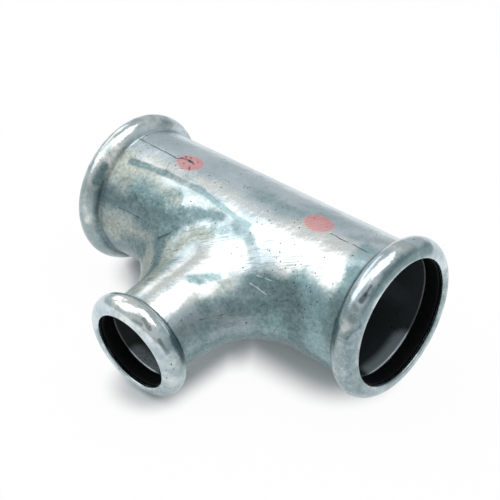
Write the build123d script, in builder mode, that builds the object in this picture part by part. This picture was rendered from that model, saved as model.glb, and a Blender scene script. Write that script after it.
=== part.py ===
"""Reducing press tee: a 35 mm run with a 22 mm branch, formed in one piece from thin steel tube.

The run lies along X and the branch leaves it towards -Y. Lying on a table the fitting touches at all three
beads, so the smaller branch droops a little. Z is up and z = 0 is the table.
"""

from build123d import *
from math import asin, atan2, cos, hypot, sin, sqrt
import os

# Pipes that the sockets take, in millimetres
run_pipe_diameter = 35.0
branch_pipe_diameter = 22.0
pipe_clearance = 0.1

# From the crossing of the axes to each mouth, and how deep a pipe goes in
run_reach = 50.0
branch_reach = 49.3
run_insertion = 26.0
branch_insertion = 21.0

# Sheet: thin at the sized sockets, thicker in the middle, with a sloped step between them that stops the pipe
socket_wall = 1.5
body_wall = 2.0
stop_slope = 0.8
saddle_radius = 23.0
saddle_margin = 0.1

# Seal rings: a bead's groove is a little wider than high, and the ring fills it but for a gap all round
run_ring_height = 3.2
branch_ring_height = 2.9
ring_widening = 0.6
ring_gap = 0.05
ring_edge_radius = 0.4

# Rounded edges of the beads
foot_radius = 1.0
throat_radius = 0.5
lip_set_back = 0.2
lip_radius = 0.6


class PressEnd:
    """Sizes of one end: x is measured out along its axis from the crossing, and r is a radius."""

    def __init__(self, pipe_diameter, reach, insertion, ring_height):
        self.reach = reach
        self.bore = pipe_diameter / 2 + pipe_clearance
        self.outside = self.bore + socket_wall
        self.core = self.outside - body_wall
        self.stop_x = reach - insertion
        self.mouth = self.bore + lip_set_back
        # The bead is the sheet wrapped round a groove that holds the ring
        self.groove_round = ring_height / 2 + ring_widening
        self.bead_round = self.groove_round + socket_wall
        self.bead_crown = self.bore + ring_height + ring_gap + socket_wall
        self.bead_r = self.bead_crown - self.bead_round
        self.bead_x = reach - self.bead_round
        self.foot_x = self.bead_x - sqrt(self.bead_round**2 - (self.outside - self.bead_r) ** 2)
        self.throat_x = self.bead_x - self.groove_round


run_end = PressEnd(run_pipe_diameter, run_reach, run_insertion, run_ring_height)
branch_end = PressEnd(branch_pipe_diameter, branch_reach, branch_insertion, branch_ring_height)

# The blend between run and branch ends a margin before the feet of the beads
saddle_room = min(branch_end.foot_x - run_end.outside, run_end.foot_x - branch_end.outside)
outer_saddle = min(saddle_radius, saddle_room - saddle_margin)
inner_saddle = outer_saddle + body_wall

# The branch tips down until its bead meets the table that the beads of the run stand on
bead_arm = hypot(branch_end.bead_x, branch_end.bead_r)
droop = asin((run_end.bead_crown - branch_end.bead_round) / bead_arm) - atan2(branch_end.bead_r, branch_end.bead_x)

# The origin is on the table, under the middle of the fitting from its back to the front of its branch
front_reach = branch_end.bead_x * cos(droop) + branch_end.bead_r * sin(droop) + branch_end.bead_round
crossing = Vector(0, (front_reach - run_end.bead_crown) / 2, run_end.bead_crown)
right_way = Vector(1, 0, 0)
left_way = Vector(-1, 0, 0)
branch_way = Vector(0, -cos(droop), -sin(droop))
above_branch = Vector(0, -sin(droop), cos(droop))
ends = ((run_end, right_way), (run_end, left_way), (branch_end, branch_way))


def section_plane(way):
    """Plane through the axis of an end: x runs out along the axis and y is the radius."""
    return Plane(origin=crossing, x_dir=way, z_dir=way.cross(above_branch))


def rims(part, way, x, radius):
    """Round edges of one end, at a distance along its axis."""
    circles = part.edges().filter_by(GeomType.CIRCLE)
    level = circles.filter_by(lambda edge: abs((edge.arc_center - crossing).dot(way) - x) < 0.01)
    return level.filter_by(lambda edge: abs(edge.radius - radius) < 0.01)


def draw_tube(end):
    """Half section of the plain tube of an end, solid down to the axis."""
    Rectangle(end.bead_x, end.outside, align=(Align.MIN, Align.MIN))


def draw_bead(end):
    """Half section of the bead of an end, solid down to the axis."""
    Rectangle(end.reach, end.bead_r, align=(Align.MIN, Align.MIN))
    with Locations((end.bead_x, end.bead_r)):
        Circle(end.bead_round)


def draw_socket(end):
    """Half section of the hollow of a socket, with its stop, its groove and its mouth."""
    # The stop's slope runs on inwards past the core, so that the two hollows cross
    Polygon(
        (end.stop_x - 2 * stop_slope, 0),
        (end.stop_x - 2 * stop_slope, 2 * end.core - end.bore),
        (end.stop_x, end.bore),
        (end.bead_x, end.bore),
        (end.bead_x, end.mouth),
        (end.reach, end.mouth),
        (end.reach, 0),
        align=None,
    )
    with Locations((end.bead_x, end.bead_r)):
        Circle(end.groove_round)
        Rectangle(2 * end.groove_round, end.bead_r, align=(Align.CENTER, Align.MAX))


# The hollow of the middle, blended one wall further out than the outside is
with BuildPart() as core:
    for end, way in ends:
        with BuildSketch(section_plane(way)):
            Rectangle(end.throat_x, end.core, align=(Align.MIN, Align.MIN))
        revolve(axis=Axis(crossing, way))
    fillet(core.edges().filter_by(GeomType.BSPLINE), inner_saddle)

with BuildPart() as tee_body:
    for end, way in ends:
        with BuildSketch(section_plane(way)):
            draw_tube(end)
        revolve(axis=Axis(crossing, way))
    fillet(tee_body.edges().filter_by(GeomType.BSPLINE), outer_saddle)
    for end, way in ends:
        with BuildSketch(section_plane(way)):
            draw_bead(end)
        revolve(axis=Axis(crossing, way))
        fillet(rims(tee_body, way, end.foot_x, end.outside), foot_radius)
    add(core.part, mode=Mode.SUBTRACT)
    for end, way in ends:
        with BuildSketch(section_plane(way)):
            draw_socket(end)
        revolve(axis=Axis(crossing, way), mode=Mode.SUBTRACT)
        fillet(rims(tee_body, way, end.throat_x, end.bore), throat_radius)
        fillet(rims(tee_body, way, end.reach, end.mouth), lip_radius)
        fillet(rims(tee_body, way, end.reach - socket_wall, end.mouth), lip_radius)


def make_seal(end, way):
    """Ring in the groove of an end: round towards the bead and flat towards the pipe."""
    half_width = end.groove_round - ring_gap
    with BuildPart() as seal:
        with BuildSketch(section_plane(way)) as section:
            with Locations((end.bead_x, end.bead_r)):
                Circle(half_width)
                Rectangle(2 * half_width, end.bead_r - end.bore, align=(Align.CENTER, Align.MAX))
            with Locations((end.bead_x, end.bore)):
                Rectangle(2 * half_width, end.bead_crown, align=(Align.CENTER, Align.MIN), mode=Mode.INTERSECT)
            fillet(section.vertices().group_by(Axis.Y)[0], ring_edge_radius)
        revolve(axis=Axis(crossing, way))
    return seal.part


pieces = {
    "tee_body": tee_body.part,
    "run_seal_left": make_seal(run_end, left_way),
    "run_seal_right": make_seal(run_end, right_way),
    "branch_seal": make_seal(branch_end, branch_way),
}
os.makedirs("parts", exist_ok=True)
for name, piece in pieces.items():
    piece.label = name
    export_step(piece, f"parts/{name}.step")
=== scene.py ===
import math
import bmesh
import bpy
import numpy
from mathutils import Matrix, Vector


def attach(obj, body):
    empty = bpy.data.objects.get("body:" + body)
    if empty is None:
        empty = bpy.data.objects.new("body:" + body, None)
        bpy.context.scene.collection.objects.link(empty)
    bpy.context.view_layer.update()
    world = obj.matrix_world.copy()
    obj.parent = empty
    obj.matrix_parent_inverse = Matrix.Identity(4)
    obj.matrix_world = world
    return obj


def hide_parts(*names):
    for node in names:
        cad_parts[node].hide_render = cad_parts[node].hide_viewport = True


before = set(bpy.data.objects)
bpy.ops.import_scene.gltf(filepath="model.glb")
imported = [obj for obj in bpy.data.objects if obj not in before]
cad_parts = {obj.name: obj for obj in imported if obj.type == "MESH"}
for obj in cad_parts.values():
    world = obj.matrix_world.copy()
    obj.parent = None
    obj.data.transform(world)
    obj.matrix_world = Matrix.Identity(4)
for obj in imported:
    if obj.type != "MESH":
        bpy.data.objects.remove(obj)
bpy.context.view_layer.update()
print("stage: frame loaded", list(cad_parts))

# Where the axes of run and branch cross, and how far the branch droops, as the CAD has them
tee = {
    "crossing": (0.0, 0.0141204, 0.02235),    # metres
    "droop": math.radians(8.7236),
}
crossing = Vector(tee["crossing"])
rightWay, leftWay = Vector((1, 0, 0)), Vector((-1, 0, 0))
branchWay = Vector((0, -math.cos(tee["droop"]), -math.sin(tee["droop"])))
branchTop = Vector((0, -math.sin(tee["droop"]), math.cos(tee["droop"])))


# Places on the body are in millimetres from the crossing: along the run, up, and along the branch
def onBody(spot):
    return crossing + (rightWay * spot[0] + branchTop * spot[1] + branchWay * spot[2]) / 1000


# One value of a material's node tree, so that shader maths reads as plain expressions
class Value:
    def __init__(self, finish, socket):
        self.finish = finish
        self.socket = socket

    def output(self, name):    # another output of the same node
        return Value(self.finish, self.socket.node.outputs[name])

    def maths(self, operation, *others):
        return self.finish.maths(operation, self, *others)

    def __add__(self, other):
        return self.maths("ADD", other)

    def __sub__(self, other):
        return self.maths("SUBTRACT", other)

    def __rsub__(self, other):
        return self.finish.maths("SUBTRACT", other, self)

    def __mul__(self, other):
        return self.maths("MULTIPLY", other)

    def __truediv__(self, other):
        return self.maths("DIVIDE", other)

    def __rtruediv__(self, other):
        return self.finish.maths("DIVIDE", other, self)

    def __pow__(self, other):
        return self.maths("POWER", other)

    def __abs__(self):
        return self.maths("ABSOLUTE")

    __radd__, __rmul__ = __add__, __mul__


strokeCore = 0.35    # the share of a stroke's half width at which it begins to fade


# A material being made: node() makes any node from its type, its settings and its sockets
class Finish:
    def __init__(self, name):
        self.material = bpy.data.materials.new(name)
        self.material.use_nodes = True
        self.tree = self.material.node_tree
        self.tree.nodes.clear()

    def node(self, kind, settings=None, sockets=None):
        made = self.tree.nodes.new(kind)
        for name, setting in (settings or {}).items():
            setattr(made, name, setting)
        for name, given in (sockets or {}).items():
            socket = made.inputs[name]
            if isinstance(given, Value):
                self.tree.links.new(given.socket, socket)
            elif socket.type == "RGBA":
                socket.default_value = (*given, 1)
            else:
                socket.default_value = given
        return Value(self, made.outputs[0]) if len(made.outputs) else None

    def maths(self, operation, *values):
        return self.node("ShaderNodeMath", {"operation": operation}, dict(enumerate(values)))

    def vectorMaths(self, operation, *values):
        return self.node("ShaderNodeVectorMath", {"operation": operation}, dict(enumerate(values)))

    def greatest(self, *values):
        most, *rest = values
        for value in rest:
            most = value.maths("MAXIMUM", most)
        return most

    def step(self, value, low, high):    # 0 below low, 1 above high
        return self.node("ShaderNodeMapRange", {"interpolation_type": "SMOOTHSTEP"},
                         {"Value": value, "From Min": low, "From Max": high})

    def blend(self, mask, below, above, way="MIX"):    # colours, the second where the mask is 1
        return self.node("ShaderNodeMix", {"data_type": "RGBA", "blend_type": way},
                         {0: mask, 6: below, 7: above}).output(2)

    def place(self):
        return self.node("ShaderNodeTexCoord").output("Object")

    def noise(self, place, size, detail, roughness=0.5):    # size in millimetres
        return self.node("ShaderNodeTexNoise", None, {
            "Vector": place, "Scale": 1000 / size, "Detail": detail, "Roughness": roughness})

    def shift(self, place, offset):
        return self.vectorMaths("ADD", place, offset)

    def dot(self, place, way):
        return self.vectorMaths("DOT_PRODUCT", place, way).output("Value")

    def tone(self, name):    # a tone painted on the body's points
        return self.node("ShaderNodeAttribute", {"attribute_name": name}).output("Fac")

    def stroke(self, place, start, end, width):    # 1 on the line between two places, in metres
        line = end - start
        reach = self.shift(place, -start)
        share = (self.dot(reach, line) / line.length_squared).maths("MAXIMUM", 0).maths("MINIMUM", 1)
        nearest = self.node("ShaderNodeVectorMath", {"operation": "SCALE"}, {0: line, "Scale": share})
        away = self.vectorMaths("DISTANCE", reach, nearest).output("Value")
        return 1 - self.step(away, width * strokeCore, width)

    def surface(self, **sockets):
        named = {name.replace("_", " "): given for name, given in sockets.items()}
        shader = self.node("ShaderNodeBsdfPrincipled", None, named)
        self.node("ShaderNodeOutputMaterial", None, {"Surface": shader})
        return self.material


# Zinc-plated steel: colours, sizes in millimetres, strengths, and shares of a noise
zincLook = {
    "plain": (0.59, 0.685, 0.725),
    "plainLight": (0.72, 0.80, 0.84),
    "scored": (0.035, 0.05, 0.055),
    "bright": (0.85, 0.9, 0.9),
    # painted shade for the creases at the bead feet
    "foot": (0.055, 0.09, 0.10),
    # painted shade inside the bores, and the colour of their painted glints
    "inside": (0.085, 0.10, 0.105),
    "paintedGlint": (0.66, 0.75, 0.80),
    "speckleShades": ((0.70, 0.73, 0.735), (1.26, 1.24, 1.22)),    # the colour is multiplied by these
    "speckleStrength": (0.2, 0.7),    # on plain metal, and more on toned metal
    "speckleRise": 5,                 # how soon it grows with the dullness of a tone
    "toneBlotches": 0.9,
    "toneGrain": 0.5,
    "hatchStrength": 0.5,
    "hatchNoise": (1000, 2),          # size and detail, in steps of the next two
    "hatchWidth": 0.35,
    "hatchLength": 4.0,
    "hatchAcross": (-0.45, 0.2, 0.87),
    "hatchAlong": (0.89, 0.1, 0.45),
    "lineBlotches": (0.3, 1.4),
    "straying": 1.1,                  # how far pits and fine lines stray
    "pitSpacing": 1.2,
    "pitStrength": 0.85,
    "specking": 0.6,                  # how many more pits there are where the metal is specked
    "footShadeBlotches": 1.5,
    "footShadeStrength": (0.2, 0.6),       # everywhere, and more in front and to the right
    "beadReflectionStrength": 0.38,
    "waveHeight": 0.42,
    "blotchHeight": 0.06,
    "grainHeight": 0.008,
    "scoreDepth": 0.05,
    "roughness": 0.24,
    "blotchRoughness": 0.08,
    "grainRoughness": 0.12,
    "paintRoughness": 0.25,
    "beadPolish": 0.07,
    "paintDullness": 0.75,            # taken from the metallic look, as the next
    "insideDullness": 0.45,
}
zincNoises = {    # size, detail, roughness
    "clouds": (11.0, 3, 0.55),
    "blotches": (3.5, 4, 0.6),
    "grain": (0.7, 3, 0.65),
    "speckle": (1.1, 4, 0.75),
    "straying": (3.5, 3, 0.5),
    "beadReflection": (4.5, 3, 0.5),
    "waves": (7.5, 3, 0.45),
}
zincEdges = {    # where a mask sets in, and where it is full
    "clouds": (0.35, 0.65),
    "tone": (0.12, 0.95),
    "hatch": (0.52, 0.62),
    "scuffed": (0.2, 0.8),
    "speckle": (0.3, 0.72),
    "beadReflection": (0.42, 0.6),
    "pit": (0.09, 0.26),
    "pitChoice": (0.05, 0.09),
    "dot": (0.75, 1.1),
    "dotTop": (15, 16),
    "ruling": (-0.6, 0.5),
    "runFootShade": (0.2, 0.9),
    "branchFootShade": (0.2, 0.8),
    "footShadeOut": (-14, 8),
    "footAlong": (-60, -20),
    "runBead": (43.2, 44.2),
    "branchBead": (43.0, 44.0),
}
beadFeet = {"run": 42.35, "branch": 42.1}    # along the run and along the branch
redDots = {    # along the run and along the branch
    "paint": (0.66, 0.21, 0.21),
    "middles": ((-22.6, -0.8), (22.7, -1.5)),
    "halfSizes": (4.5, 3.3),
    "grain": 0.5,
    "ruling": (0.55, 9),              # its slant and closeness
    "strength": (0.5, 0.45),          # between the ruled lines, and more on them
}
# The tones of the body: cream is a stain, and the others are painted shade, painted reflection and painted
# highlights
toneColours = {    # colour and added roughness, each laid over the ones before it
    # painted shade: darker and a little rougher on the flanks, the underside and the bead ends
    "paintedShade": ((0.35, 0.42, 0.435), 0.10),
    "cream": ((0.50, 0.535, 0.485), 0.24),
    # painted highlight
    "paintedHighlight": ((0.86, 0.875, 0.85), -0.02),
    # painted shade and painted reflection, teal
    "paintedTealShade": ((0.30, 0.435, 0.46), 0.10),
    # a dark tone: painted shade and painted reflection on the body, and the colour of the scuff hatching
    "slateAndPaintedShade": ((0.20, 0.29, 0.305), 0.10),
}
# Strokes of the tones, and places that are scuffed or specked: start, end, half width, strength. The strokes of
# every tone but cream are painted shade, painted reflection or painted highlights
bodyTones = {
    # painted shade on the flanks, the underside, the hips and the bead ends
    "paintedShade": [
        ((32.6, 18.9, -2.6), (42.5, 17.7, -6.8), 1.8, 0.5),
        ((-43.0, 7.0, 17.8), (-19.0, 6.0, 19.5), 9.0, 1.0),
        ((-43.0, -7.0, 17.8), (-19.0, -7.0, 19.5), 9.0, 1.0),
        ((24.0, 6.0, 20.0), (42.0, 5.0, 18.4), 9.0, 1.0),
        ((-43.4, 18.6, -9.5), (-42.6, 15.8, -14.0), 1.3, 0.9),
        ((24.0, -8.0, 20.0), (42.0, -8.0, 17.4), 10.0, 1.0),
        ((12.0, 3.0, 42.0), (15.0, 4.0, 28.0), 6.0, 1.0),
        ((-12.0, -4.0, 42.0), (-15.0, -3.0, 28.0), 6.0, 1.0),
        ((10.0, -8.0, 42.0), (14.0, -9.0, 26.0), 7.0, 1.0),
        ((15.0, 1.0, 30.0), (26.0, 0.0, 20.0), 8.0, 1.0),
        ((-43.0, 0.0, -19.0), (43.0, -6.0, -18.0), 9.0, 0.7),
        ((-43.0, -18.0, 4.0), (43.0, -18.0, 4.0), 12.0, 0.8),
        ((-48.0, 3.0, 22.0), (-48.0, -12.0, 18.0), 6.0, 0.5),
        ((48.0, 3.0, 22.0), (48.0, -14.0, 16.0), 6.0, 0.7),
        ((46.0, 14.0, 17.0), (48.0, 8.0, 21.0), 3.5, 0.8),
        ((9.0, -9.0, 47.0), (3.0, -13.0, 46.0), 4.0, 0.6),
    ],
    "cream": [
        ((-42.3, 17.2, 8.5), (-29.5, 15.7, 10.8), 4.5, 1.0),
        ((-33.4, 13.7, 13.3), (-29.9, 17.3, 8.1), 3.2, 0.9),
        ((-38.4, 2.5, 18.9), (-20.2, 4.9, 22.3), 5.0, 0.6),
        ((-7.6, 12.6, 17.0), (-9.6, 9.8, 24.3), 3.0, 0.8),
        ((-9.6, 9.8, 24.3), (-4.5, 11.8, 33.5), 2.8, 0.8),
        ((-6.9, 10.5, 32.4), (-4.4, 11.8, 40.0), 2.0, 0.9),
        ((11.6, 9.7, 21.8), (10.0, 9.2, 25.8), 1.5, 0.8),
        ((-14.0, 5.0, 24.0), (-12.0, 5.0, 34.0), 4.0, 0.9),
        ((-12.0, 11.5, 19.0), (-9.0, 11.0, 23.0), 3.0, 0.6),
        ((-7.0, 13.6, 15.5), (-2.0, 14.2, 14.5), 2.2, 0.8),
        ((-8.5, 9.0, 27.0), (-7.0, 10.0, 38.0), 2.6, 0.4),
        ((-28.0, 16.0, 10.5), (-18.0, 16.0, 10.5), 2.6, 0.9),
    ],
    # painted highlights on the run's ridge, the dome, the neck and the beads
    "paintedHighlight": [
        ((-3.0, 18.7, 3.6), (7.5, 18.8, 3.4), 2.2, 0.6),
        ((7.7, 18.7, 3.7), (18.4, 18.6, 4.2), 2.0, 0.6),
        ((18.9, 18.2, 5.6), (27.5, 18.2, 5.6), 2.2, 0.9),
        ((27.3, 18.3, 5.4), (35.8, 18.5, 4.7), 1.8, 0.9),
        ((-33.3, 18.6, 4.4), (-17.3, 18.4, 4.9), 2.4, 0.8),
        ((-13.8, 17.2, 8.4), (1.4, 17.9, 6.9), 1.3, 0.9),
        ((2.4, 12.7, 20.9), (8.0, 13.2, 16.4), 4.2, 1.0),
        ((13.1, 17.6, 7.5), (33.3, 17.7, 7.2), 3.6, 1.0),
        ((23.4, 15.4, 11.2), (36.5, 16.7, 9.3), 4.2, 1.0),
        ((3.5, 11.9, 40.5), (7.5, 10.3, 26.8), 3.0, 1.0),
        ((-1.0, 12.6, 38.0), (0.5, 12.9, 24.5), 2.2, 0.9),
        ((-43.9, 17.0, 14.0), (-46.0, 21.0, 4.0), 2.5, 0.9),
        ((47.0, 12.0, 19.0), (47.0, 21.0, 4.0), 1.2, 0.8),
        ((-2.0, 15.0, 46.5), (7.0, 13.5, 46.5), 2.5, 0.9),
        ((-45.9, 16.0, 15.6), (-44.8, 3.2, 21.6), 1.6, 0.6),
        ((-44.8, 21.0, -3.0), (-44.8, 19.0, -9.0), 1.6, 0.7),
        ((44.4, 21.5, -3.7), (47.7, 21.6, -4.6), 1.8, 1.0),
        ((-44.5, 21.9, 0.6), (-45.4, 20.8, 7.9), 1.4, 0.8),
        ((9.3, 11.0, 48.3), (12.3, 8.7, 47.6), 1.3, 0.5),
        ((14.0, 3.0, 47.0), (13.5, -4.0, 48.5), 1.6, 0.4),
        ((-14.8, 18.8, 3.2), (-3.4, 18.8, 3.0), 1.9, 0.8),
        ((17.0, 18.8, 3.0), (36.0, 18.9, 2.2), 2.6, 1.0),
        ((13.8, 4.2, 30.8), (20.1, 4.8, 22.5), 2.2, 0.35),
        ((11.8, 8.9, 23.7), (13.5, 9.0, 21.7), 1.6, 0.5),
    ],
    # painted shade and painted reflection on the flanks, the underside, the back and round the dome
    "paintedTealShade": [
        ((-30.0, 14.0, 12.8), (-15.5, 11.8, 16.0), 4.4, 0.9),
        ((24.5, 5.8, 19.6), (32.1, 2.7, 19.1), 6.0, 1.0),
        ((28.9, 12.8, 14.2), (40.4, 9.2, 16.7), 3.6, 1.0),
        ((38.7, 18.3, 5.5), (38.7, 19.1, -0.6), 2.2, 0.7),
        ((-43.2, 9.1, 18.6), (-43.2, -4.8, 20.1), 1.8, 0.45),
        ((35.0, 5.0, 18.8), (38.0, -8.0, 17.5), 6.0, 0.8),
        ((-36.0, -10.0, -16.0), (-10.0, -12.0, -14.0), 6.0, 0.6),
        ((39.7, 19.1, 0.0), (40.7, 17.9, 6.6), 2.6, 0.7),
        ((2.0, 19.1, -1.5), (16.0, 19.1, -1.2), 3.0, 0.55),
        ((13.6, 18.5, -4.7), (26.0, 18.4, -5.0), 3.0, 0.35),
        ((-1.7, 15.0, 12.3), (5.7, 16.0, 10.4), 2.0, 0.6),
        ((-19.5, 17.1, 8.5), (-5.8, 17.6, 7.4), 2.4, 0.52),
        ((1.7, 18.2, 5.7), (13.5, 17.7, 7.3), 2.4, 0.3),
    ],
    # painted shade under the saddle, on the flanks and along the beads' fronts, and painted reflection round the
    # dome
    "slateAndPaintedShade": [
        ((12.7, -2.0, 39.4), (14.7, -2.8, 32.3), 3.0, 0.9),
        ((14.7, -2.8, 32.3), (18.2, -3.4, 26.6), 3.2, 0.9),
        ((18.2, -3.4, 26.6), (22.4, -3.6, 22.8), 3.2, 0.95),
        ((22.4, -3.6, 22.8), (27.0, -4.0, 20.1), 3.2, 0.9),
        ((27.0, -4.0, 20.1), (32.2, -5.4, 18.6), 2.6, 0.6),
        ((32.2, -5.4, 18.6), (38.4, -6.7, 17.9), 2.6, 0.8),
        ((-14.5, 14.4, 12.5), (-2.3, 16.8, 9.3), 1.8, 0.9),
        ((-17.6, 11.9, 15.5), (-11.2, 14.9, 11.9), 2.6, 0.8),
        ((-42.3, 9.9, 16.3), (-20.4, 12.2, 14.8), 2.7, 0.8),
        ((-43.3, 14.1, 15.3), (-41.0, 10.0, 16.2), 2.2, 0.45),
        ((-27.1, 9.9, 16.4), (-15.9, 10.8, 17.3), 3.0, 0.8),
        ((-15.8, 9.2, 19.3), (-11.4, 8.4, 26.5), 1.8, 0.8),
        ((4.3, 11.8, 28.0), (7.6, 11.0, 23.2), 1.8, 0.82),
        ((10.4, 7.1, 31.1), (15.5, 9.0, 21.6), 2.6, 0.7),
        ((16.5, 10.1, 18.0), (27.0, 11.0, 15.8), 2.6, 1.0),
        ((14.8, 6.4, 25.2), (27.8, 8.3, 17.3), 3.0, 0.8),
        ((28.5, 8.3, 17.3), (31.5, -3.1, 19.1), 3.6, 0.8),
        ((40.0, 9.0, 16.8), (41.4, 0.6, 19.1), 2.0, 0.6),
        ((12.5, 3.0, 42.0), (13.5, 3.5, 30.0), 2.8, 0.6),
        ((22.5, 1.8, 22.8), (28.9, -2.3, 19.8), 3.4, 0.5),
        ((44.9, 15.2, 15.6), (47.8, 13.9, 17.1), 1.3, 0.6),
        ((49.7, 16.9, 11.0), (49.5, 19.6, 6.0), 1.1, 0.6),
        ((12.4, 9.0, 44.5), (15.0, 1.6, 44.0), 1.1, 0.6),
        ((-43.9, 13.8, 16.4), (-43.7, 17.2, 12.6), 1.2, 0.9),
        ((12.0, -6.0, -17.0), (30.0, 4.0, -18.0), 5.0, 0.5),
        ((48.8, 8.0, 20.5), (48.8, -10.0, 19.0), 3.0, 0.5),
        ((12.7, 2.9, 38.0), (13.8, -3.1, 32.5), 2.6, 0.55),
        ((-41.5, -7.0, 17.8), (-26.0, -1.0, 21.0), 3.0, 0.7),
        ((-31.0, -1.0, 20.0), (-22.0, 3.5, 22.0), 3.0, 0.8),
        ((-16.8, 9.4, 19.0), (-11.3, 13.5, 14.0), 1.7, 0.9),
        ((-11.3, 13.5, 14.0), (-5.5, 16.5, 9.7), 1.6, 0.8),
        ((49.6, 17.4, 10.8), (49.5, 12.5, 16.2), 1.3, 0.75),
        ((49.6, 3.0, -19.3), (49.6, -8.0, -17.8), 1.8, 0.5),
        ((49.6, -8.0, -17.8), (49.6, -15.5, -12.0), 1.8, 0.5),
        ((40.9, 17.8, 7.0), (41.1, 15.5, 11.1), 2.4, 1.0),
        ((41.1, 15.5, 11.1), (42.0, 11.1, 15.6), 2.8, 1.0),
        ((49.4, 16.4, -12.5), (49.5, 20.4, -1.1), 1.6, 0.9),
        ((49.5, 20.4, -1.1), (49.6, 19.8, 5.0), 1.5, 1.0),
        ((49.6, 19.8, 5.0), (49.6, 17.4, 10.8), 1.4, 0.9),
        ((42.0, 11.1, 15.6), (42.6, 5.0, 18.6), 1.6, 1.0),
        ((-17.1, 8.5, 20.0), (-10.4, 8.5, 27.5), 1.6, 0.9),
        ((-10.4, 8.5, 27.5), (-8.3, 9.8, 34.6), 1.4, 0.7),
    ],
    "scuffed": [
        ((14.1, 13.0, 14.5), (17.9, 17.5, 7.7), 3.4, 1.0),
        ((8.0, 16.4, 9.8), (16.0, 15.9, 10.6), 2.2, 0.8),
        ((14.0, 11.7, 16.5), (23.8, 15.0, 11.8), 1.8, 1.0),
        ((-1.0, 14.6, 13.1), (-6.4, 14.4, 13.2), 1.8, 1.0),
        ((25.4, 8.3, 17.6), (39.6, 6.4, 18.0), 3.0, 1.0),
        ((15.6, 2.9, 29.2), (21.4, 4.2, 22.1), 2.0, 1.0),
        ((-8.0, 13.6, 15.0), (3.0, 14.6, 13.5), 3.2, 1.0),
        ((-8.0, 10.5, 22.0), (-3.5, 12.0, 33.0), 3.0, 1.0),
        ((20.0, 17.0, 8.6), (34.0, 16.6, 9.4), 2.4, 0.8),
        ((-38.0, 13.0, 14.0), (-22.0, 15.0, 11.5), 3.2, 0.8),
        ((-37.0, 2.0, 19.0), (-20.0, 4.0, 20.0), 3.0, 0.8),
    ],
    "specked": [
        ((-26.4, 19.1, -0.6), (-19.6, 19.1, 0.1), 1.6, 1.0),
        ((-9.4, 19.1, -0.6), (0.1, 19.0, -2.2), 1.6, 1.0),
        ((7.6, 19.1, 0.3), (19.1, 19.0, 1.8), 1.4, 1.0),
        ((13.0, 15.6, 11.0), (29.5, 11.9, 14.9), 4.5, 1.0),
        ((26.2, 11.9, 15.0), (38.5, 12.9, 14.1), 2.7, 1.0),
        ((45.3, 7.1, 21.0), (48.2, -3.2, 21.6), 1.6, 1.0),
        ((14.4, 2.0, 48.3), (11.1, -10.3, 47.5), 1.6, 1.0),
    ],
}
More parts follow.
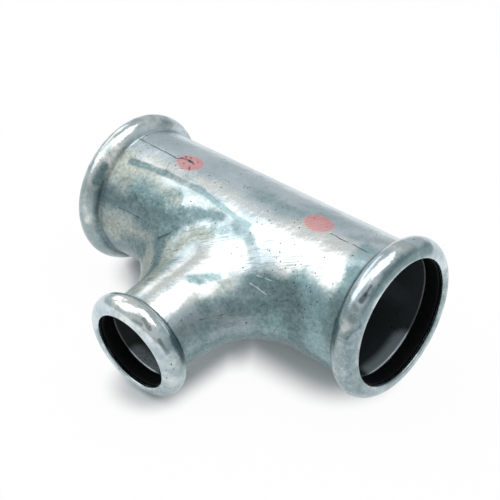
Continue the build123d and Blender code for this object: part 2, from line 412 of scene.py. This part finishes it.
# Seam, parting lines, creases, streaks, notches and scratches: start, end, half width, colour, strength. The slate
# and teal streaks are painted reflection, and the dark creases at the hips are painted shade
fineLines = [
    ((-42.3, 19.2, -0.5), (-27.2, 19.1, -0.1), 0.30, "scored", 0.7),
    ((27.6, 19.1, -0.2), (39.6, 19.1, 0.1), 0.30, "scored", 0.7),
    ((-35.7, 9.1, 16.8), (-27.6, 9.2, 16.8), 0.25, "scored", 0.4),
    ((-27.6, 9.2, 16.8), (-17.3, 8.9, 19.3), 0.28, "scored", 0.5),
    ((-17.0, 8.8, 19.7), (-13.9, 11.0, 17.7), 0.5, "scored", 0.6),
    ((11.5, 6.0, 33.7), (14.1, 5.1, 28.7), 0.35, "scored", 0.5),
    ((14.1, 5.1, 28.7), (21.0, 6.4, 20.5), 0.35, "scored", 0.5),
    ((21.0, 6.4, 20.5), (27.6, 9.0, 16.9), 0.30, "scored", 0.35),
    ((-26.5, 18.4, 4.9), (-27.3, 18.9, 2.5), 0.3, "scored", 0.35),
    ((-27.3, 18.9, 2.5), (-26.2, 19.1, 0.3), 0.3, "scored", 0.35),
    ((-26.4, 19.1, -1.0), (-23.2, 19.1, -1.5), 0.4, "scored", 0.6),
    ((-23.6, 19.0, -1.4), (-22.6, 19.1, -1.1), 0.6, "scored", 0.9),
    ((-25.6, 19.0, -2.2), (-25.2, 19.0, -2.1), 0.45, "scored", 0.8),
    ((-24.2, 18.9, -2.6), (-23.9, 18.9, -2.5), 0.4, "scored", 0.8),
    ((-22.4, 19.0, -1.3), (-21.5, 19.1, -0.8), 0.4, "scored", 0.8),
    ((-21.5, 19.1, 0.8), (-20.6, 19.0, 1.8), 0.35, "scored", 0.7),
    ((-26.9, 19.1, -0.3), (-25.7, 19.1, -1.1), 0.35, "scored", 0.8),
    ((-23.9, 19.1, 0.4), (-23.6, 19.1, 0.7), 0.4, "scored", 0.7),
    ((-21.2, 18.9, -2.4), (-20.9, 18.9, -2.3), 0.35, "scored", 0.7),
    # dark streaks along the run and round the dome, painted reflection
    ((-38.0, 17.7, 7.2), (-26.1, 18.2, 5.9), 1.5, "slateAndPaintedShade", 0.9),
    ((-26.1, 18.2, 5.9), (-11.7, 18.2, 5.8), 1.5, "slateAndPaintedShade", 0.75),
    ((-11.7, 18.2, 5.8), (6.8, 17.2, 8.4), 1.2, "paintedTealShade", 0.9),
    ((-12.0, 18.3, 5.4), (-20.0, 18.7, 4.0), 1.0, "paintedTealShade", 0.4),
    ((-2.3, 16.8, 9.3), (4.3, 16.6, 9.5), 1.6, "slateAndPaintedShade", 0.5),
    ((3.0, 16.7, 9.0), (9.6, 15.6, 11.0), 2.0, "slateAndPaintedShade", 0.5),
    ((9.6, 15.6, 11.0), (14.6, 12.8, 14.6), 2.3, "slateAndPaintedShade", 0.5),
    ((47.9, 17.4, 13.4), (48.1, 18.3, 12.0), 1.1, "scored", 0.75),
    ((48.1, 18.3, 12.0), (48.0, 19.6, 9.8), 0.55, "scored", 0.7),
    ((48.0, 9.9, 19.5), (49.6, 12.3, 16.3), 0.5, "scored", 0.5),
    ((45.9, 9.9, 20.7), (49.2, 11.6, 17.4), 0.9, "slateAndPaintedShade", 0.6),
    ((44.6, 17.0, 13.6), (47.9, 15.9, 15.2), 0.9, "slateAndPaintedShade", 0.5),
    ((6.2, 13.9, 46.9), (8.9, 12.4, 47.6), 0.7, "scored", 0.55),
    ((11.4, 9.8, 47.4), (13.6, 6.8, 47.3), 0.8, "slateAndPaintedShade", 0.8),
    ((2.0, 13.6, 48.2), (6.5, 13.0, 48.1), 0.6, "slateAndPaintedShade", 0.6),
    ((16.0, 9.8, 18.7), (20.8, 8.5, 18.5), 0.26, "bright", 0.55),
    ((16.4, 11.2, 16.6), (20.9, 11.1, 15.9), 0.22, "bright", 0.5),
    ((29.4, 8.5, 17.3), (30.8, 5.6, 18.2), 0.2, "bright", 0.3),
]
# painted glints of the bores
boreGlints = [    # lighter places of the bores, beside the rings: start, end, half width
    ((43.6, -17.4, 5.0), (43.6, -16.4, -7.0), 4.4),
    ((-43.6, -17.4, 5.0), (-43.6, -16.4, -7.0), 4.4),
    ((-5.1, -9.9, 42.4), (-0.2, -11.1, 42.3), 4.0),
]


def makeZinc():
    zinc, look = Finish("zincPlate"), zincLook
    place = zinc.place()
    noises = {name: zinc.noise(place, *shape) for name, shape in zincNoises.items()}
    blotches, grain = noises["blotches"] - 0.5, noises["grain"] - 0.5
    centred = zinc.shift(place, -crossing)
    along, top, out = (zinc.dot(centred, way * 1000) for way in (rightWay, branchTop, branchWay))
    stray = zinc.shift(noises["straying"].output("Color"), (-0.5, -0.5, -0.5))
    crooked = zinc.vectorMaths("MULTIPLY_ADD", stray, (look["straying"] / 1000,) * 3, place)
    # the dark tone, used below for the scuff hatching and for the painted reflection on the beads
    slateAndPaintedShade = toneColours["slateAndPaintedShade"][0]

    def edge(name, value):
        return zinc.step(value, *zincEdges[name])

    # Plain metal, and the painted tones with ragged edges, most of them painted shade and painted highlights
    colour = zinc.blend(edge("clouds", noises["clouds"]), look["plain"], look["plainLight"])
    dullness = 0
    for tone, (shade, rougher) in toneColours.items():
        mask = edge("tone", zinc.tone(tone) + blotches * look["toneBlotches"] + grain * look["toneGrain"])
        dullness = mask * rougher + dullness
        colour = zinc.blend(mask, colour, shade)

    # Fine hatching where the metal is scuffed, from a noise that is drawn out along one way
    drawn = zinc.node("ShaderNodeCombineXYZ", None, {
        "X": zinc.dot(place, look["hatchAcross"]) / (look["hatchWidth"] / 1000),
        "Y": zinc.dot(place, look["hatchAlong"]) / (look["hatchLength"] / 1000)})
    hatch = edge("hatch", zinc.noise(drawn, *look["hatchNoise"])) * edge("scuffed", zinc.tone("scuffed") + blotches)
    colour = zinc.blend(hatch * look["hatchStrength"], colour, slateAndPaintedShade)

    # Painted shade in the creases at the feet of the beads
    uneven = blotches * look["footShadeBlotches"]
    runFootShade = 1 - edge("runFootShade", abs(abs(along) - beadFeet["run"]) + uneven)
    branchFootShade = 1 - edge("branchFootShade", abs(out - beadFeet["branch"]) + uneven)
    least, more = look["footShadeStrength"]
    foot = zinc.greatest(runFootShade, branchFootShade) * (least + more * edge("footShadeOut", out) * edge("footAlong", along))
    colour = zinc.blend(foot, colour, look["foot"])

    # Red dots, ruled by their printing, on the upper side only
    halfAlong, halfOut = redDots["halfSizes"]
    paint = 0
    for middleAlong, middleOut in redDots["middles"]:
        reach = ((along - middleAlong) / halfAlong) ** 2 + ((out - middleOut) / halfOut) ** 2
        paint = zinc.greatest(paint, 1 - edge("dot", reach + grain * redDots["grain"]))
    (slant, closeness), (least, more) = redDots["ruling"], redDots["strength"]
    ruling = edge("ruling", ((along * slant + out) * closeness).maths("SINE"))
    paint = paint * edge("dotTop", top) * (least + more * ruling)
    colour = zinc.blend(paint, colour, redDots["paint"])

    # Fine lines: the toned ones, painted reflection, are ragged, and the others are cut into the metal
    least, more = look["lineBlotches"]
    cuts = 0
    for start, end, width, shade, strength in fineLines:
        mask = zinc.stroke(crooked, onBody(start), onBody(end), width / 1000) * strength
        if shade in toneColours:
            mask = (mask * (least + more * noises["blotches"])).maths("MINIMUM", 1)
            colour = zinc.blend(mask, colour, toneColours[shade][0])
        else:
            cuts = zinc.greatest(cuts, mask)
            colour = zinc.blend(mask, colour, look[shade])

    # Pits, more of them where the metal is specked
    pits = zinc.node("ShaderNodeTexVoronoi", None, {"Vector": crooked, "Scale": 1000 / look["pitSpacing"]})
    chance = zinc.dot(pits.output("Color"), (1, 0, 0)) - look["specking"] * zinc.tone("specked")
    specks = (1 - edge("pit", pits.output("Distance"))) * (1 - edge("pitChoice", chance))
    colour = zinc.blend(specks * look["pitStrength"], colour, look["scored"])

    # Speckle over all of it, strongest on the tones, and dark wavy streaks on the beads, which are painted
    # reflection
    speckled = zinc.blend(edge("speckle", noises["speckle"]), *look["speckleShades"])
    least, more = look["speckleStrength"]
    toned = (dullness * look["speckleRise"]).maths("MINIMUM", 1)
    colour = zinc.blend(least + more * toned, colour, speckled, "MULTIPLY")
    bead = zinc.greatest(edge("runBead", abs(along)), edge("branchBead", out))
    colour = zinc.blend(bead * edge("beadReflection", noises["beadReflection"]) * look["beadReflectionStrength"], colour, slateAndPaintedShade)

    # The inside is painted dark as its shade, apart from a few painted glints
    glint = 0
    for start, end, width in boreGlints:
        glint = zinc.greatest(glint, zinc.stroke(place, onBody(start), onBody(end), width / 1000))
    inside = zinc.tone("inside")
    colour = zinc.blend(inside, colour, zinc.blend(glint, look["inside"], look["paintedGlint"]))

    height = (noises["waves"] * look["waveHeight"] + noises["blotches"] * look["blotchHeight"]
              + noises["grain"] * look["grainHeight"] - cuts * look["scoreDepth"])
    bump = zinc.node("ShaderNodeBump", None, {"Strength": 1.0, "Distance": 0.001, "Height": height})
    roughness = (look["roughness"] + look["blotchRoughness"] * noises["blotches"] + look["grainRoughness"] * grain
                 + dullness + look["paintRoughness"] * paint - look["beadPolish"] * bead)
    metallic = 1 - look["paintDullness"] * paint - look["insideDullness"] * inside
    return zinc.surface(Base_Color=colour, Metallic=metallic, Roughness=roughness, Normal=bump)


# Rubber of the seal rings
rubberLook = {
    "colour": (0.003, 0.003, 0.0035),
    "dusty": (0.009, 0.009, 0.0095),
    "dust": (1.2, 4, 0.7),         # size in millimetres, detail, roughness
    "dustEdge": (0.45, 0.8),
    "dustHeight": 0.05,            # millimetres
    "dustStrength": 0.4,
    "roughness": 0.6,
    "dustRoughness": 0.2,
    "sheen": 0.12,
}


def makeRubber():
    rubber, look = Finish("sealRubber"), rubberLook
    dust = rubber.noise(rubber.place(), *look["dust"])
    colour = rubber.blend(rubber.step(dust, *look["dustEdge"]), look["colour"], look["dusty"])
    bump = rubber.node("ShaderNodeBump", None, {
        "Strength": look["dustStrength"], "Distance": look["dustHeight"] / 1000, "Height": dust})
    roughness = look["roughness"] + look["dustRoughness"] * (dust - 0.5)
    return rubber.surface(Base_Color=colour, Roughness=roughness, Specular_IOR_Level=look["sheen"], Normal=bump)


zincPlate = makeZinc()
sealRubber = makeRubber()
print("stage: materials made")


# Body and rings, in millimetres. The skin is joined from three turned ends and the saddles between them
formed = {
    "run": {"pipe": 35.0, "reach": 50.0, "insertion": 26.0, "ringHeight": 3.2},
    "branch": {"pipe": 22.0, "reach": 49.3, "insertion": 21.0, "ringHeight": 2.9},
    "pipeClearance": 0.1,
    "socketWall": 1.5,
    "bodyWall": 2.0,
    "stopSlope": 0.8,
    "saddleRadius": 23.0,
    "ringWidening": 0.6,
    "ringGap": 0.05,
    "footRadius": 1.0,
    "throatRadius": 0.5,
    "throatSetBack": 0.4,
    "lipSetBack": 0.2,
    "lipRadius": 0.6,
    "ringEdge": 0.4,
}
fineness = {    # numbers of segments and rows
    "aroundRun": 128,
    "alongBack": 36,
    "outerSaddle": (36, 26),    # rows up the saddle, steps of the spokes over the run
    "innerSaddle": (24, 18),
    "crowding": 1.25,           # of the spokes' steps towards the saddle
    "foot": 5,
    "bead": 28,
    "lip": 5,
    "groove": 16,
    "throat": 4,
    "ring": 20,
    "ringEdge": 4,
    "aroundRunRing": 128,
    "aroundBranchRing": 96,
    "weld": 2e-6,               # metres
}


def endSizes(end):
    wall, radius = formed["socketWall"], end["pipe"] / 2 + formed["pipeClearance"]
    groove = end["ringHeight"] / 2 + formed["ringWidening"]
    bead = groove + wall
    crown = radius + end["ringHeight"] + formed["ringGap"] + wall
    sizes = {
        "bore": radius,
        "outside": radius + wall,
        "core": radius + wall - formed["bodyWall"],
        "mouth": radius + formed["lipSetBack"],
        "groove": groove,
        "bead": bead,
        "beadRadius": crown - bead,
        "beadAlong": end["reach"] - bead,
        "reach": end["reach"],
        "stop": end["reach"] - end["insertion"],
    }
    rise = sizes["outside"] + formed["footRadius"] - sizes["beadRadius"]
    span = bead + formed["footRadius"]
    sizes["footAlong"] = sizes["beadAlong"] - math.sqrt(span ** 2 - rise ** 2)
    sizes["footTurn"] = math.degrees(math.asin(rise / span))
    sizes["innerRing"] = sizes["beadAlong"] - groove - formed["throatRadius"] - formed["throatSetBack"]
    return sizes


runSizes, branchSizes = endSizes(formed["run"]), endSizes(formed["branch"])


def arc(along, radius, size, start, stop, part):    # points of (along, radius), angles in degrees
    steps = fineness[part]
    angles = [math.radians(start + (stop - start) * step / steps) for step in range(steps + 1)]
    return [(along + size * math.cos(angle), radius + size * math.sin(angle)) for angle in angles]


def sleeveLine(sizes):    # from the tube outside, over the bead and into the bore
    foot, throat, lip = (formed[name] for name in ("footRadius", "throatRadius", "lipRadius"))
    beadAlong, beadRadius, groove = (sizes[name] for name in ("beadAlong", "beadRadius", "groove"))
    lipMiddle, lipEnd = sizes["mouth"] + lip, sizes["reach"] - formed["socketWall"] + lip
    line = arc(sizes["footAlong"], sizes["outside"] + foot, foot, -90, -sizes["footTurn"], "foot")[:-1]
    line += arc(beadAlong, beadRadius, sizes["bead"], 180 - sizes["footTurn"], 0, "bead")
    line += arc(sizes["reach"] - lip, lipMiddle, lip, 0, -90, "lip")
    line += arc(lipEnd, lipMiddle, lip, -90, -180, "lip")
    line += arc(beadAlong, beadRadius, groove, 0, 180, "groove")
    line += arc(beadAlong - groove - throat, sizes["bore"] + throat, throat, 0, -90, "throat")
    return line + [(sizes["innerRing"], sizes["bore"])]


def ringLine(sizes):    # closed section of a seal ring
    half, edge = sizes["groove"] - formed["ringGap"], formed["ringEdge"]
    along, radius, inner = sizes["beadAlong"], sizes["beadRadius"], sizes["bore"]
    return (arc(along, radius, half, 0, 180, "ring")
            + arc(along - half + edge, inner + edge, edge, 180, 270, "ringEdge")
            + arc(along + half - edge, inner + edge, edge, 270, 360, "ringEdge"))


# Turns a section round a circle, stands it on its axis and gives it its material
def makeTurningTree():
    tree = bpy.data.node_groups.new("turnRound", "GeometryNodeTree")
    face = tree.interface
    face.new_socket("Geometry", in_out="OUTPUT", socket_type="NodeSocketGeometry")
    for name, kind in (("Section", "Geometry"), ("Segments", "Int"), ("Radius", "Float"), ("Centre", "Vector"),
                       ("Turn", "Vector"), ("Finish", "Material")):
        face.new_socket(name, in_out="INPUT", socket_type="NodeSocket" + kind)
    given, done = tree.nodes.new("NodeGroupInput"), tree.nodes.new("NodeGroupOutput")
    section, circle, sweep, stand, real, finish = (tree.nodes.new("GeometryNode" + kind) for kind in (
        "MeshToCurve", "CurvePrimitiveCircle", "CurveToMesh", "Transform", "RealizeInstances", "SetMaterial"))
    for source, output, target, entry in ((given, "Section", section, "Mesh"),
                                          (given, "Segments", circle, "Resolution"),
                                          (given, "Radius", circle, "Radius"),
                                          (circle, "Curve", sweep, "Curve"),
                                          (section, "Curve", sweep, "Profile Curve"),
                                          (sweep, "Mesh", stand, "Geometry"),
                                          (given, "Centre", stand, "Translation"),
                                          (given, "Turn", stand, "Rotation"),
                                          (stand, "Geometry", real, "Geometry"),
                                          (real, "Geometry", finish, "Geometry"),
                                          (given, "Finish", finish, "Material"),
                                          (finish, "Geometry", done, "Geometry")):
        tree.links.new(source.outputs[output], target.inputs[entry])
    return tree


def runTree(name, mesh, tree, given):    # a new object with the tree's result baked into its mesh
    thing = bpy.data.objects.new(name, mesh)
    bpy.context.scene.collection.objects.link(thing)
    modifier = thing.modifiers.new(name, "NODES")
    modifier.node_group = tree
    for socket in tree.interface.items_tree:
        if socket.name in given:
            modifier[socket.identifier] = given[socket.name]
    result = bpy.data.meshes.new_from_object(thing.evaluated_get(bpy.context.evaluated_depsgraph_get()))
    thing.modifiers.remove(modifier)
    thing.data = result
    return thing


turnRound = makeTurningTree()


def turned(name, line, closed, sizes, way, start, segments, finish):    # the line turned about an axis
    section = bpy.data.meshes.new(name)
    edges = [(at, at + 1) for at in range(len(line) - 1)] + ([(len(line) - 1, 0)] if closed else [])
    flat = [((radius - sizes["outside"]) / 1000, -along / 1000, 0) for along, radius in line]
    section.from_pydata(flat, edges, [])
    turn = Matrix((start, way.cross(start), way)).transposed().to_euler()
    return runTree(name, section, turnRound, {
        "Segments": segments, "Radius": sizes["outside"] / 1000, "Centre": tuple(crossing), "Turn": tuple(turn),
        "Finish": finish})


def saddleRim(runEnd):    # along the run and round it in degrees, right round the saddle's outer edge
    around, back = fineness["aroundRun"], fineness["alongBack"]
    rim = [(runEnd, 360 * at / around) for at in range(around // 2)]
    rim += [(runEnd - 2 * runEnd * at / back, 180) for at in range(back)]
    rim += [(-runEnd, 180 - 360 * at / around) for at in range(around)]
    rim += [(-runEnd + 2 * runEnd * at / back, -180) for at in range(back)]
    return rim + [(runEnd, -180 + 360 * at / around) for at in range(around // 2)]


# Skin of the middle: rows run up the saddle to the branch, and spokes run out over the run to its two ends.
# Here x is along the run, y across and z along the branch
def saddleSkin(name, radii, ball, ends, steps, settle):
    (runRadius, branchRadius), (runEnd, branchEnd), (rows, spokes) = radii, ends, steps
    rim = saddleRim(runEnd)
    points, faces = [], []
    for at, (rimAlong, rimAngle) in enumerate(rim):
        turn = 2 * math.pi * at / len(rim)
        away = Vector((math.cos(turn), math.sin(turn), 0))
        centre = away * (branchRadius + ball)
        centre.z = math.sqrt((runRadius + ball) ** 2 - centre.y ** 2)
        up, down = -away, Vector((0, -centre.y, -centre.z)) / (runRadius + ball)
        bend = up.angle(down)
        lift = max(0.0, branchEnd - centre.z)
        footAngle = math.degrees(math.atan2(centre.y, centre.z))
        column = []
        for step in range(spokes, 0, -1):    # over the run
            share = (step / spokes) ** fineness["crowding"]
            along = centre.x + (rimAlong - centre.x) * share
            angle = math.radians(footAngle + (rimAngle - footAngle) * share)
            column.append(Vector((along, runRadius * math.sin(angle), runRadius * math.cos(angle))))
        length = ball * bend + lift
        for step in range(rows + 1):    # up the saddle, then straight along the branch
            walked = length * step / rows
            if walked < ball * bend:
                part = walked / ball
                column.append(centre + ball * (down * math.sin(bend - part) + up * math.sin(part)) / math.sin(bend))
            else:
                column.append(centre + ball * up + Vector((0, 0, walked - ball * bend)))
        column[-1] = Vector((away.x * branchRadius, away.y * branchRadius, branchEnd))
        points += [settle(point) for point in column]
    height = rows + spokes + 1
    for at in range(len(rim)):
        here, there = at * height, (at + 1) % len(rim) * height
        faces += [(here + level, there + level, there + level + 1, here + level + 1) for level in range(height - 1)]
    mesh = bpy.data.meshes.new(name)
    mesh.from_pydata([onBody(point) for point in points], [], faces)
    return mesh


def boreRadius(along, sizes):    # narrower past the sloped stop
    share = (abs(along) - sizes["stop"] + formed["stopSlope"]) / formed["stopSlope"]
    return sizes["core"] + (sizes["bore"] - sizes["core"]) * min(1.0, max(0.0, share))


def settleInside(point):    # the sockets are a little wider than the core
    x, y, z = point
    radius, wanted = math.hypot(y, z), boreRadius(x, runSizes)
    if radius < wanted:
        y, z = y * wanted / radius, z * wanted / radius
    radius, wanted = math.hypot(x, y), boreRadius(z, branchSizes)
    if z > branchSizes["stop"] - formed["stopSlope"] and radius < wanted:
        x, y = x * wanted / radius, y * wanted / radius
    return Vector((x, y, z))


brush = {"core": 1.35, "slope": 0.75}    # a stroke's depth falls from its middle, and is 1 near it
insideBounds = {    # millimetres, past which the outer skin begins
    "runMouth": 48.4,
    "branchMouth": 47.7,
    "runRadius": 18.95,
    "branchRadius": 12.45,
    "sockets": 36.0,    # from here out an end is judged by itself
    "facing": -0.3,
}


def facesInside(spots, facing):    # whether points lie on the inner skin, from their places and normals
    bounds = insideBounds
    x, top, out = spots.T
    fromRun, fromBranch = numpy.hypot(top, out), numpy.hypot(x, top)
    runFacing = (facing[:, 1] * top + facing[:, 2] * out) / fromRun
    branchFacing = (facing[:, 0] * x + facing[:, 1] * top) / fromBranch
    inRun = (fromRun < bounds["runRadius"]) | (runFacing < bounds["facing"])
    inRun &= numpy.abs(x) < bounds["runMouth"]
    inBranch = (fromBranch < bounds["branchRadius"]) | (branchFacing < bounds["facing"])
    inBranch &= out < bounds["branchMouth"]
    inside = numpy.where(out > bounds["sockets"], inBranch, runFacing + branchFacing < 0)
    return numpy.where(numpy.abs(x) > bounds["sockets"], inRun, inside)


def paintTones(mesh):    # writes the tones, and what is inside, on the body's points
    count = len(mesh.vertices)
    spots, facing = numpy.empty(count * 3), numpy.empty(count * 3)
    mesh.vertices.foreach_get("co", spots)
    mesh.vertices.foreach_get("normal", facing)
    bodyAxes = numpy.array([rightWay, branchTop, branchWay]).T
    spots = (spots.reshape(-1, 3) - numpy.array(crossing)) @ bodyAxes * 1000
    facing = facing.reshape(-1, 3) @ bodyAxes
    for tone, strokes in bodyTones.items():
        depth = numpy.zeros(count)
        for start, end, width, strength in strokes:
            line = numpy.subtract(end, start)
            share = numpy.clip((spots - start) @ line / (line @ line), 0, 1)
            away = numpy.linalg.norm(spots - start - share[:, None] * line, axis=1)
            depth = numpy.maximum(depth, strength * numpy.clip(brush["core"] - brush["slope"] * away / width, 0, 1))
        mesh.attributes.new(tone, "FLOAT", "POINT").data.foreach_set("value", depth)
    inside = facesInside(spots, facing).astype(float)
    mesh.attributes.new("inside", "FLOAT", "POINT").data.foreach_set("value", inside)


def smooth(mesh):
    mesh.polygons.foreach_set("use_smooth", [True] * len(mesh.polygons))


def makeBody():
    aroundRun = fineness["aroundRun"]
    aroundBranch = 2 * (aroundRun + fineness["alongBack"])
    ends = [turned(name, sleeveLine(sizes), False, sizes, way, start, segments, zincPlate)
            for name, sizes, way, start, segments in (
                ("rightEnd", runSizes, rightWay, branchWay, aroundRun),
                ("leftEnd", runSizes, leftWay, branchWay, aroundRun),
                ("branchEnd", branchSizes, branchWay, rightWay, aroundBranch))]
    saddles = [saddleSkin(name, (runSizes[radius], branchSizes[radius]), ball, (runSizes[end], branchSizes[end]),
                          fineness[name], settle)
               for name, radius, ball, end, settle in (
                   ("outerSaddle", "outside", formed["saddleRadius"], "footAlong", Vector),
                   ("innerSaddle", "core", formed["saddleRadius"] + formed["bodyWall"], "innerRing", settleInside))]
    shell = bmesh.new()
    for mesh in [end.data for end in ends] + saddles:
        shell.from_mesh(mesh)
    bmesh.ops.remove_doubles(shell, verts=shell.verts, dist=fineness["weld"])
    bmesh.ops.recalc_face_normals(shell, faces=shell.faces)
    print("body shell: faces", len(shell.faces), "open edges", sum(not edge.is_manifold for edge in shell.edges))
    skin = bpy.data.meshes.new("formedBody")
    shell.to_mesh(skin)
    shell.free()
    for end in ends:
        bpy.data.objects.remove(end)
    body = bpy.data.objects.new("formedBody", skin)
    bpy.context.scene.collection.objects.link(body)
    skin.materials.append(zincPlate)
    smooth(skin)
    paintTones(skin)
    return body


body = makeBody()
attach(body, "root")
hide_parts("tee_body")
rings = (
    ("runSealRight", "run_seal_right", runSizes, rightWay, branchWay, fineness["aroundRunRing"]),
    ("runSealLeft", "run_seal_left", runSizes, leftWay, branchWay, fineness["aroundRunRing"]),
    ("branchSeal", "branch_seal", branchSizes, branchWay, rightWay, fineness["aroundBranchRing"]),
)
for name, node, sizes, way, start, segments in rings:
    ring = turned(name, ringLine(sizes), True, sizes, way, start, segments, sealRubber)
    smooth(ring.data)
    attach(ring, "root")
    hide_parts(node)
print("stage: body and rings made")


# Floor, and the soft boxes and sky of the studio, in metres
studio = {
    "floorSize": 4.0,
    "paper": (0.95, 0.95, 0.95),
    "glowFar": 0.96,     # how white the floor is by itself, away from the fitting and on its shadow's ground
    "glowNear": 0.04,
    "shadowGround": [    # start, end, half width
        ((-0.032, 0.012, 0), (0.031, 0.012, 0), 0.0202),
        ((0, 0.012, 0), (0, -0.028, 0), 0.0138),
        ((0, 0.002, 0), (0, 0.012, 0), 0.0195),
        ((-0.038, 0.010, 0), (-0.030, 0.004, 0), 0.012),
    ],
    "skyColour": (0.535, 0.563, 0.572),
    "skyStrength": 1.0,
    "boxDistance": 0.7,
    "boxes": [    # name, direction from the fitting, width, height, brightness
        ("frontBox", (-0.56, -0.45, 0.85), 0.44, 0.66, 1.15),
        ("topBox", (0.07, 0.14, 0.98), 0.50, 0.50, 1.85),
        ("sideBox", (-0.83, 0.12, 0.50), 0.40, 0.30, 0.9),
    ],
}


def makeFloor():
    cover = Finish("paleFloor")
    rays = cover.node("ShaderNodeLightPath")
    kinds = ("Is Camera Ray", "Is Glossy Ray", "Is Transmission Ray")
    seen = cover.greatest(*(rays.output(kind) for kind in kinds))
    near = 0    # the shadow's own ground, round the run and the branch
    place = cover.place()
    for start, end, width in studio["shadowGround"]:
        near = cover.greatest(near, cover.stroke(place, Vector(start), Vector(end), width))
    glow = studio["glowFar"] - (studio["glowFar"] - studio["glowNear"]) * near
    paper = cover.node("ShaderNodeBsdfDiffuse", None, {"Color": studio["paper"]})
    white = cover.node("ShaderNodeEmission", None, {"Color": (1, 1, 1), "Strength": 1.0})
    mixed = cover.node("ShaderNodeMixShader", None, {0: seen * glow, 1: paper, 2: white})
    cover.node("ShaderNodeOutputMaterial", None, {"Surface": mixed})
    half = studio["floorSize"] / 2
    sheet = bpy.data.meshes.new("floor")
    sheet.from_pydata([(-half, -half, 0), (half, -half, 0), (half, half, 0), (-half, half, 0)], [], [(0, 1, 2, 3)])
    sheet.materials.append(cover.material)
    floor = bpy.data.objects.new("floor", sheet)
    bpy.context.scene.collection.objects.link(floor)


def makeLights():
    for name, way, width, height, brightness in studio["boxes"]:
        lamp = bpy.data.lights.new(name, "AREA")
        lamp.shape, lamp.size, lamp.size_y = "RECTANGLE", width, height
        lamp.energy = brightness * math.pi * width * height
        box = bpy.data.objects.new(name, lamp)
        way = Vector(way).normalized()
        box.location = crossing + way * studio["boxDistance"]
        box.rotation_euler = way.to_track_quat("Z", "Y").to_euler()
        bpy.context.scene.collection.objects.link(box)
    sky = bpy.data.worlds.new("studioSky")
    sky.use_nodes = True
    background = sky.node_tree.nodes["Background"]
    background.inputs["Color"].default_value = (*studio["skyColour"], 1)
    background.inputs["Strength"].default_value = studio["skyStrength"]
    bpy.context.scene.world = sky


# The camera stands where the photograph was taken from, fitted to the fitting's mouths and beads
viewpoint = {
    "azimuth": 41.731,     # degrees, as the next two
    "elevation": 35.095,
    "roll": 0.283,
    "distance": 0.3478,    # metres
    "nearest": 0.01,
    "lens": 91.084,        # millimetres, as the film
    "film": 36,
    "shift": (-0.012618, -0.005034),
}


def makeCamera():
    azimuth, elevation, roll = (math.radians(viewpoint[name]) for name in ("azimuth", "elevation", "roll"))
    level = math.cos(elevation)
    back = Vector((math.sin(azimuth) * level, -math.cos(azimuth) * level, math.sin(elevation)))
    right = Vector((0, 0, 1)).cross(back).normalized()
    up = back.cross(right)
    turn = Matrix.Rotation(roll, 3, back)
    right, up = turn @ right, turn @ up
    lens = bpy.data.cameras.new("photoCamera")
    lens.sensor_width, lens.lens = viewpoint["film"], viewpoint["lens"]
    lens.shift_x, lens.shift_y = viewpoint["shift"]
    lens.clip_start = viewpoint["nearest"]
    camera = bpy.data.objects.new("photoCamera", lens)
    stand = Matrix.Translation(crossing + back * viewpoint["distance"])
    camera.matrix_world = stand @ Matrix((right, up, back)).transposed().to_4x4()
    bpy.context.scene.collection.objects.link(camera)
    bpy.context.scene.camera = camera


makeFloor()
makeLights()
makeCamera()
bpy.context.scene.view_settings.view_transform = "Standard"
print("stage: studio and camera set")
